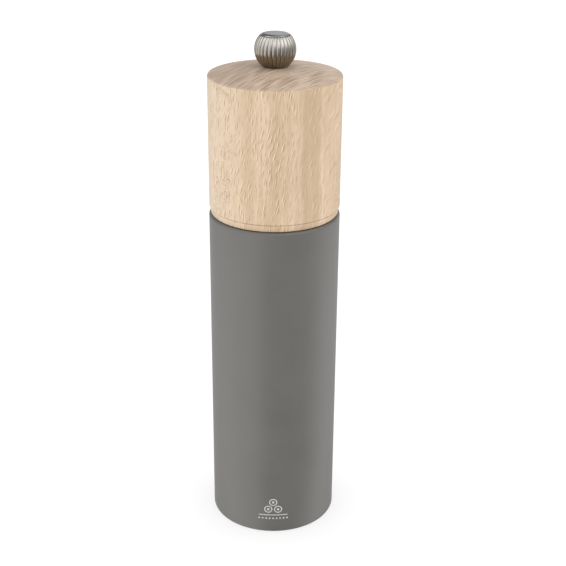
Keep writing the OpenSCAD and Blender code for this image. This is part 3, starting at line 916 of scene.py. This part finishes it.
# %% Spring
SPRING_STEPS = 28         # steps in one turn
spring_low, spring_high = span("grinder_spring")
wire = 0.5 * MM
coil_radius = reach("grinder_spring") - wire
spring_turns, end_turns = 6.5, 0.8
spring_rise = spring_high - spring_low - 2 * wire
end_pitch = 2.04 * wire
open_pitch = (spring_rise - 2 * end_turns * end_pitch) / (spring_turns - 2 * end_turns)
deselect()
bpy.ops.mesh.primitive_circle_add(vertices=12, radius=wire * 0.98, fill_type="NGON",
                                  rotation=(math.pi / 2, 0, 0),
                                  location=(coil_radius, 0, spring_low + wire))
spring = bpy.context.object
spring.name = "spring"
spring.data.name = "spring"
bpy.ops.object.transform_apply(location=True, rotation=True)
bpy.ops.object.mode_set(mode="EDIT")
bpy.ops.mesh.select_all(action="SELECT")
for step in range(int(spring_turns * SPRING_STEPS)):
    turn = step / SPRING_STEPS
    close_wound = turn < end_turns or turn > spring_turns - end_turns
    climb = (end_pitch if close_wound else open_pitch) / SPRING_STEPS
    bpy.ops.mesh.extrude_region_move(TRANSFORM_OT_translate={"value": (0, 0, climb)})
    bpy.ops.transform.rotate(value=math.tau / SPRING_STEPS, orient_axis="Z", center_override=(0, 0, 0))
close_mesh()
settle(spring, 60)
spring.data.materials.append(wire_steel)
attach(spring, "bush")
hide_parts("grinder_spring")
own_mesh(spring)

# %% [markdown]
# ## A printed mark
# Mills carry a small print near the foot. This one is a plain sign of its own: three
# peppercorns over a line and a row of dots. The shapes are flat, cut fine enough to bend, and a
# Shrinkwrap modifier lays them on the body, a hair above the lacquer.

# %% Print
def flat_shape(corners, radius, place):
    """A filled flat shape that faces forward, in front of the body."""
    deselect()
    bpy.ops.mesh.primitive_circle_add(vertices=corners, radius=radius, fill_type="NGON",
                                      rotation=(math.pi / 2, 0, 0), location=place)
    shape = bpy.context.object
    bpy.ops.object.transform_apply(location=True, rotation=True, scale=True)
    return shape


def flat_ring(radius, width, place):
    """A flat ring that faces forward: a circle of edges, extruded and drawn inwards."""
    deselect()
    bpy.ops.mesh.primitive_circle_add(vertices=36, radius=radius, rotation=(math.pi / 2, 0, 0),
                                      location=place)
    ring = bpy.context.object
    bpy.ops.object.transform_apply(location=True, rotation=True, scale=True)
    bpy.ops.object.mode_set(mode="EDIT")
    bpy.ops.mesh.select_all(action="SELECT")
    bpy.ops.mesh.extrude_edges_move()
    share = (radius - width) / radius
    bpy.ops.transform.resize(value=(share, share, share), center_override=place)
    bpy.ops.object.mode_set(mode="OBJECT")
    return ring


in_front = -body_radius - 5 * MM
corn_places = [(x * MM, in_front, z * MM) for x, z in ((-2.1, 11.4), (2.1, 11.4), (0, 14.9))]
corns = [flat_ring(1.75 * MM, 0.42 * MM, place) for place in corn_places]
corns += [flat_shape(16, 0.55 * MM, place) for place in corn_places]
line_height, dot_height, dot_gap = 8.5 * MM, 6.8 * MM, 1.5 * MM
dots = [flat_shape(12, 0.40 * MM, (x * dot_gap, in_front, dot_height)) for x in range(-4, 5)]
deselect()
bpy.ops.mesh.primitive_plane_add(size=1, rotation=(math.pi / 2, 0, 0),
                                 location=(0, in_front, line_height))
line = bpy.context.object
line.scale = (12.4 * MM, 0.40 * MM, 1)
bpy.ops.object.transform_apply(location=True, rotation=True, scale=True)
bpy.ops.object.mode_set(mode="EDIT")
bpy.ops.mesh.select_all(action="SELECT")
bpy.ops.mesh.subdivide(number_cuts=24)
bpy.ops.object.mode_set(mode="OBJECT")
mark = join_into("mark", *corns, *dots, line)
lay = mark.modifiers.new("lay", "SHRINKWRAP")
lay.target = body
lay.wrap_method = "PROJECT"
lay.use_project_x = False
lay.use_project_y = True
lay.use_project_z = False
lay.use_positive_direction = True
lay.use_negative_direction = False
lay.offset = 0.0
bpy.ops.object.modifier_apply(modifier="lay")
film = mark.modifiers.new("film", "SOLIDIFY")
film.thickness = 0.05 * MM
film.offset = 0
bpy.ops.object.modifier_apply(modifier="film")
settle(mark)


def make_print():
    material, tree, shader = new_material("white print", Roughness=0.55)
    coat = place_group(tree, coat_texture, Grain_Show=0.0)
    worn = soft_step(tree, coat.outputs["Height"], 0.30, 0.62)
    connect(tree, mix_colors(tree, worn, (0.46, 0.455, 0.44, 1), (0.62, 0.615, 0.60, 1)),
            shader.inputs["Base Color"])
    bump(tree, shader, coat.outputs["Height"], 0.01 * MM)
    return material


mark.data.materials.append(make_print())
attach(mark, "mill_body")
print("mark", len(mark.data.polygons), "faces")

# %% [markdown]
# ## The pieces that keep their shape
# The washers, plates, screws, burrs and bushes are right as they come. Each only needs the finish
# that its material slot in the record asks for.

# %% CAD nodes
finishes = {
    "brushed_steel": plate_steel, "spring_steel": wire_steel, "burr_steel": burr_steel,
    "brass": brass, "nylon": nylon, "polished_steel": disc_steel}
slots = {row["node"]: row["material_slot"] for row in frame["record"]["subparts"]}
for name, node in frame["nodes"].items():
    finish = finishes.get(slots[name])
    if finish is None:
        continue
    node.data.materials.clear()
    node.data.materials.append(finish)
print("finished nodes")

# %% [markdown]
# ## Studio
# The mill stands on a backlit white table in a plain room. A backlit table is nearly free of
# shadow, and only a soft one is left where the foot touches. A satin surface is drawn by what it
# reflects, so the room is built in two layers: an even white light for all that is matt, and a
# room with windows for reflections.

# %% Table
deselect()
bpy.ops.mesh.primitive_plane_add(size=8, location=(0, 0, 0))
table = bpy.context.object
table.name = "table"
table_material, table_tree, table_shader = new_material("backlit table", Roughness=0.9)
table_shader.inputs["Base Color"].default_value = (0.5, 0.5, 0.5, 1)
table_shader.inputs["Specular IOR Level"].default_value = 0.0
table_shader.inputs["Emission Color"].default_value = (1, 1, 1, 1)
table_shader.inputs["Emission Strength"].default_value = 0.55
table.data.materials.append(table_material)
table.visible_glossy = False
print("table", table.name)

# %% [markdown]
# Reflections that point up see windows half way up on both sides, the right one brighter, a low
# glow on the left and a dim wall behind. Those that point down see the table, lit at its left and
# right and dark in front.

# %% Room
EVEN_LIGHT = 1.13         # brightness that matt surfaces see


def table_glow(tree, azimuth, rise):
    """What a reflection that points down sees: the table lit from both sides, dark in front."""
    left = math_node(tree, "MULTIPLY", soft_step(tree, azimuth, -8.0, -38.0),
                     math_node(tree, "MULTIPLY_ADD", soft_step(tree, azimuth, -80.0, -140.0), -0.76, 1.16))
    right = math_node(tree, "MULTIPLY", soft_step(tree, azimuth, 50.0, 96.0),
                      math_node(tree, "MULTIPLY_ADD", soft_step(tree, azimuth, 100.0, 145.0), -0.62, 1.0))
    glow = math_node(tree, "MULTIPLY_ADD", math_node(tree, "ADD", left, right), 1.75, 0.12)
    far = math_node(tree, "MULTIPLY_ADD", soft_step(tree, rise, -0.36, -0.58), -0.35, 1.0)
    return math_node(tree, "MULTIPLY", glow, far)


def room_glow(tree, azimuth, rise, front):
    """What a reflection that points up sees: windows half way up, and a dim wall behind."""
    band = math_node(tree, "MULTIPLY", soft_step(tree, rise, 0.08, 0.60),
                     soft_step(tree, rise, 0.95, 0.78))
    panes = math_node(tree, "MULTIPLY_ADD", soft_step(tree, azimuth, 2.0, 24.0), 0.55, 0.62)
    panes = math_node(tree, "MULTIPLY_ADD", soft_step(tree, azimuth, -18.0, -40.0), 0.35, panes)
    ahead = math_node(tree, "MULTIPLY_ADD", math_node(tree, "MULTIPLY", band, panes), 1.35, 0.38)
    low_left = math_node(tree, "MULTIPLY", soft_step(tree, azimuth, 5.0, -30.0),
                         soft_step(tree, rise, 0.5, 0.1))
    ahead = math_node(tree, "MULTIPLY_ADD", low_left, 0.75, ahead)
    wall = math_node(tree, "MULTIPLY_ADD", soft_step(tree, rise, 0.24, 0.42), -0.40, 0.46)
    wall = math_node(tree, "MULTIPLY_ADD", soft_step(tree, azimuth, 60.0, 150.0), 0.30, wall)
    behind = soft_step(tree, front, 0.10, -0.45)
    return math_node(tree, "ADD", math_node(tree, "MULTIPLY", wall, behind),
                     math_node(tree, "MULTIPLY", ahead, math_node(tree, "SUBTRACT", 1.0, behind)))


def make_room():
    world = bpy.data.worlds.new("studio")
    bpy.context.scene.world = world
    world.use_nodes = True
    tree = world.node_tree
    direction = tree.nodes.new("ShaderNodeSeparateXYZ")
    connect(tree, tree.nodes.new("ShaderNodeTexCoord").outputs["Generated"], direction.inputs[0])
    east, north, rise = direction.outputs
    front = math_node(tree, "MULTIPLY", north, -1.0)
    azimuth = math_node(tree, "DEGREES", math_node(tree, "ARCTAN2", east, front))
    up = soft_step(tree, rise, -0.36, -0.22)
    mirror = math_node(tree, "ADD",
                       math_node(tree, "MULTIPLY", room_glow(tree, azimuth, rise, front), up),
                       math_node(tree, "MULTIPLY", table_glow(tree, azimuth, rise),
                                 math_node(tree, "SUBTRACT", 1.0, up)))
    path = tree.nodes.new("ShaderNodeLightPath")
    reflected = mix_colors(tree, path.outputs["Is Glossy Ray"], (EVEN_LIGHT,) * 3 + (1,), mirror)
    seen = mix_colors(tree, path.outputs["Is Camera Ray"], reflected, (1.1, 1.1, 1.1, 1))
    connect(tree, seen, tree.nodes["Background"].inputs["Color"])
    return world


room = make_room()
bpy.context.scene.view_settings.view_transform = "Standard"
print("room", room.name)
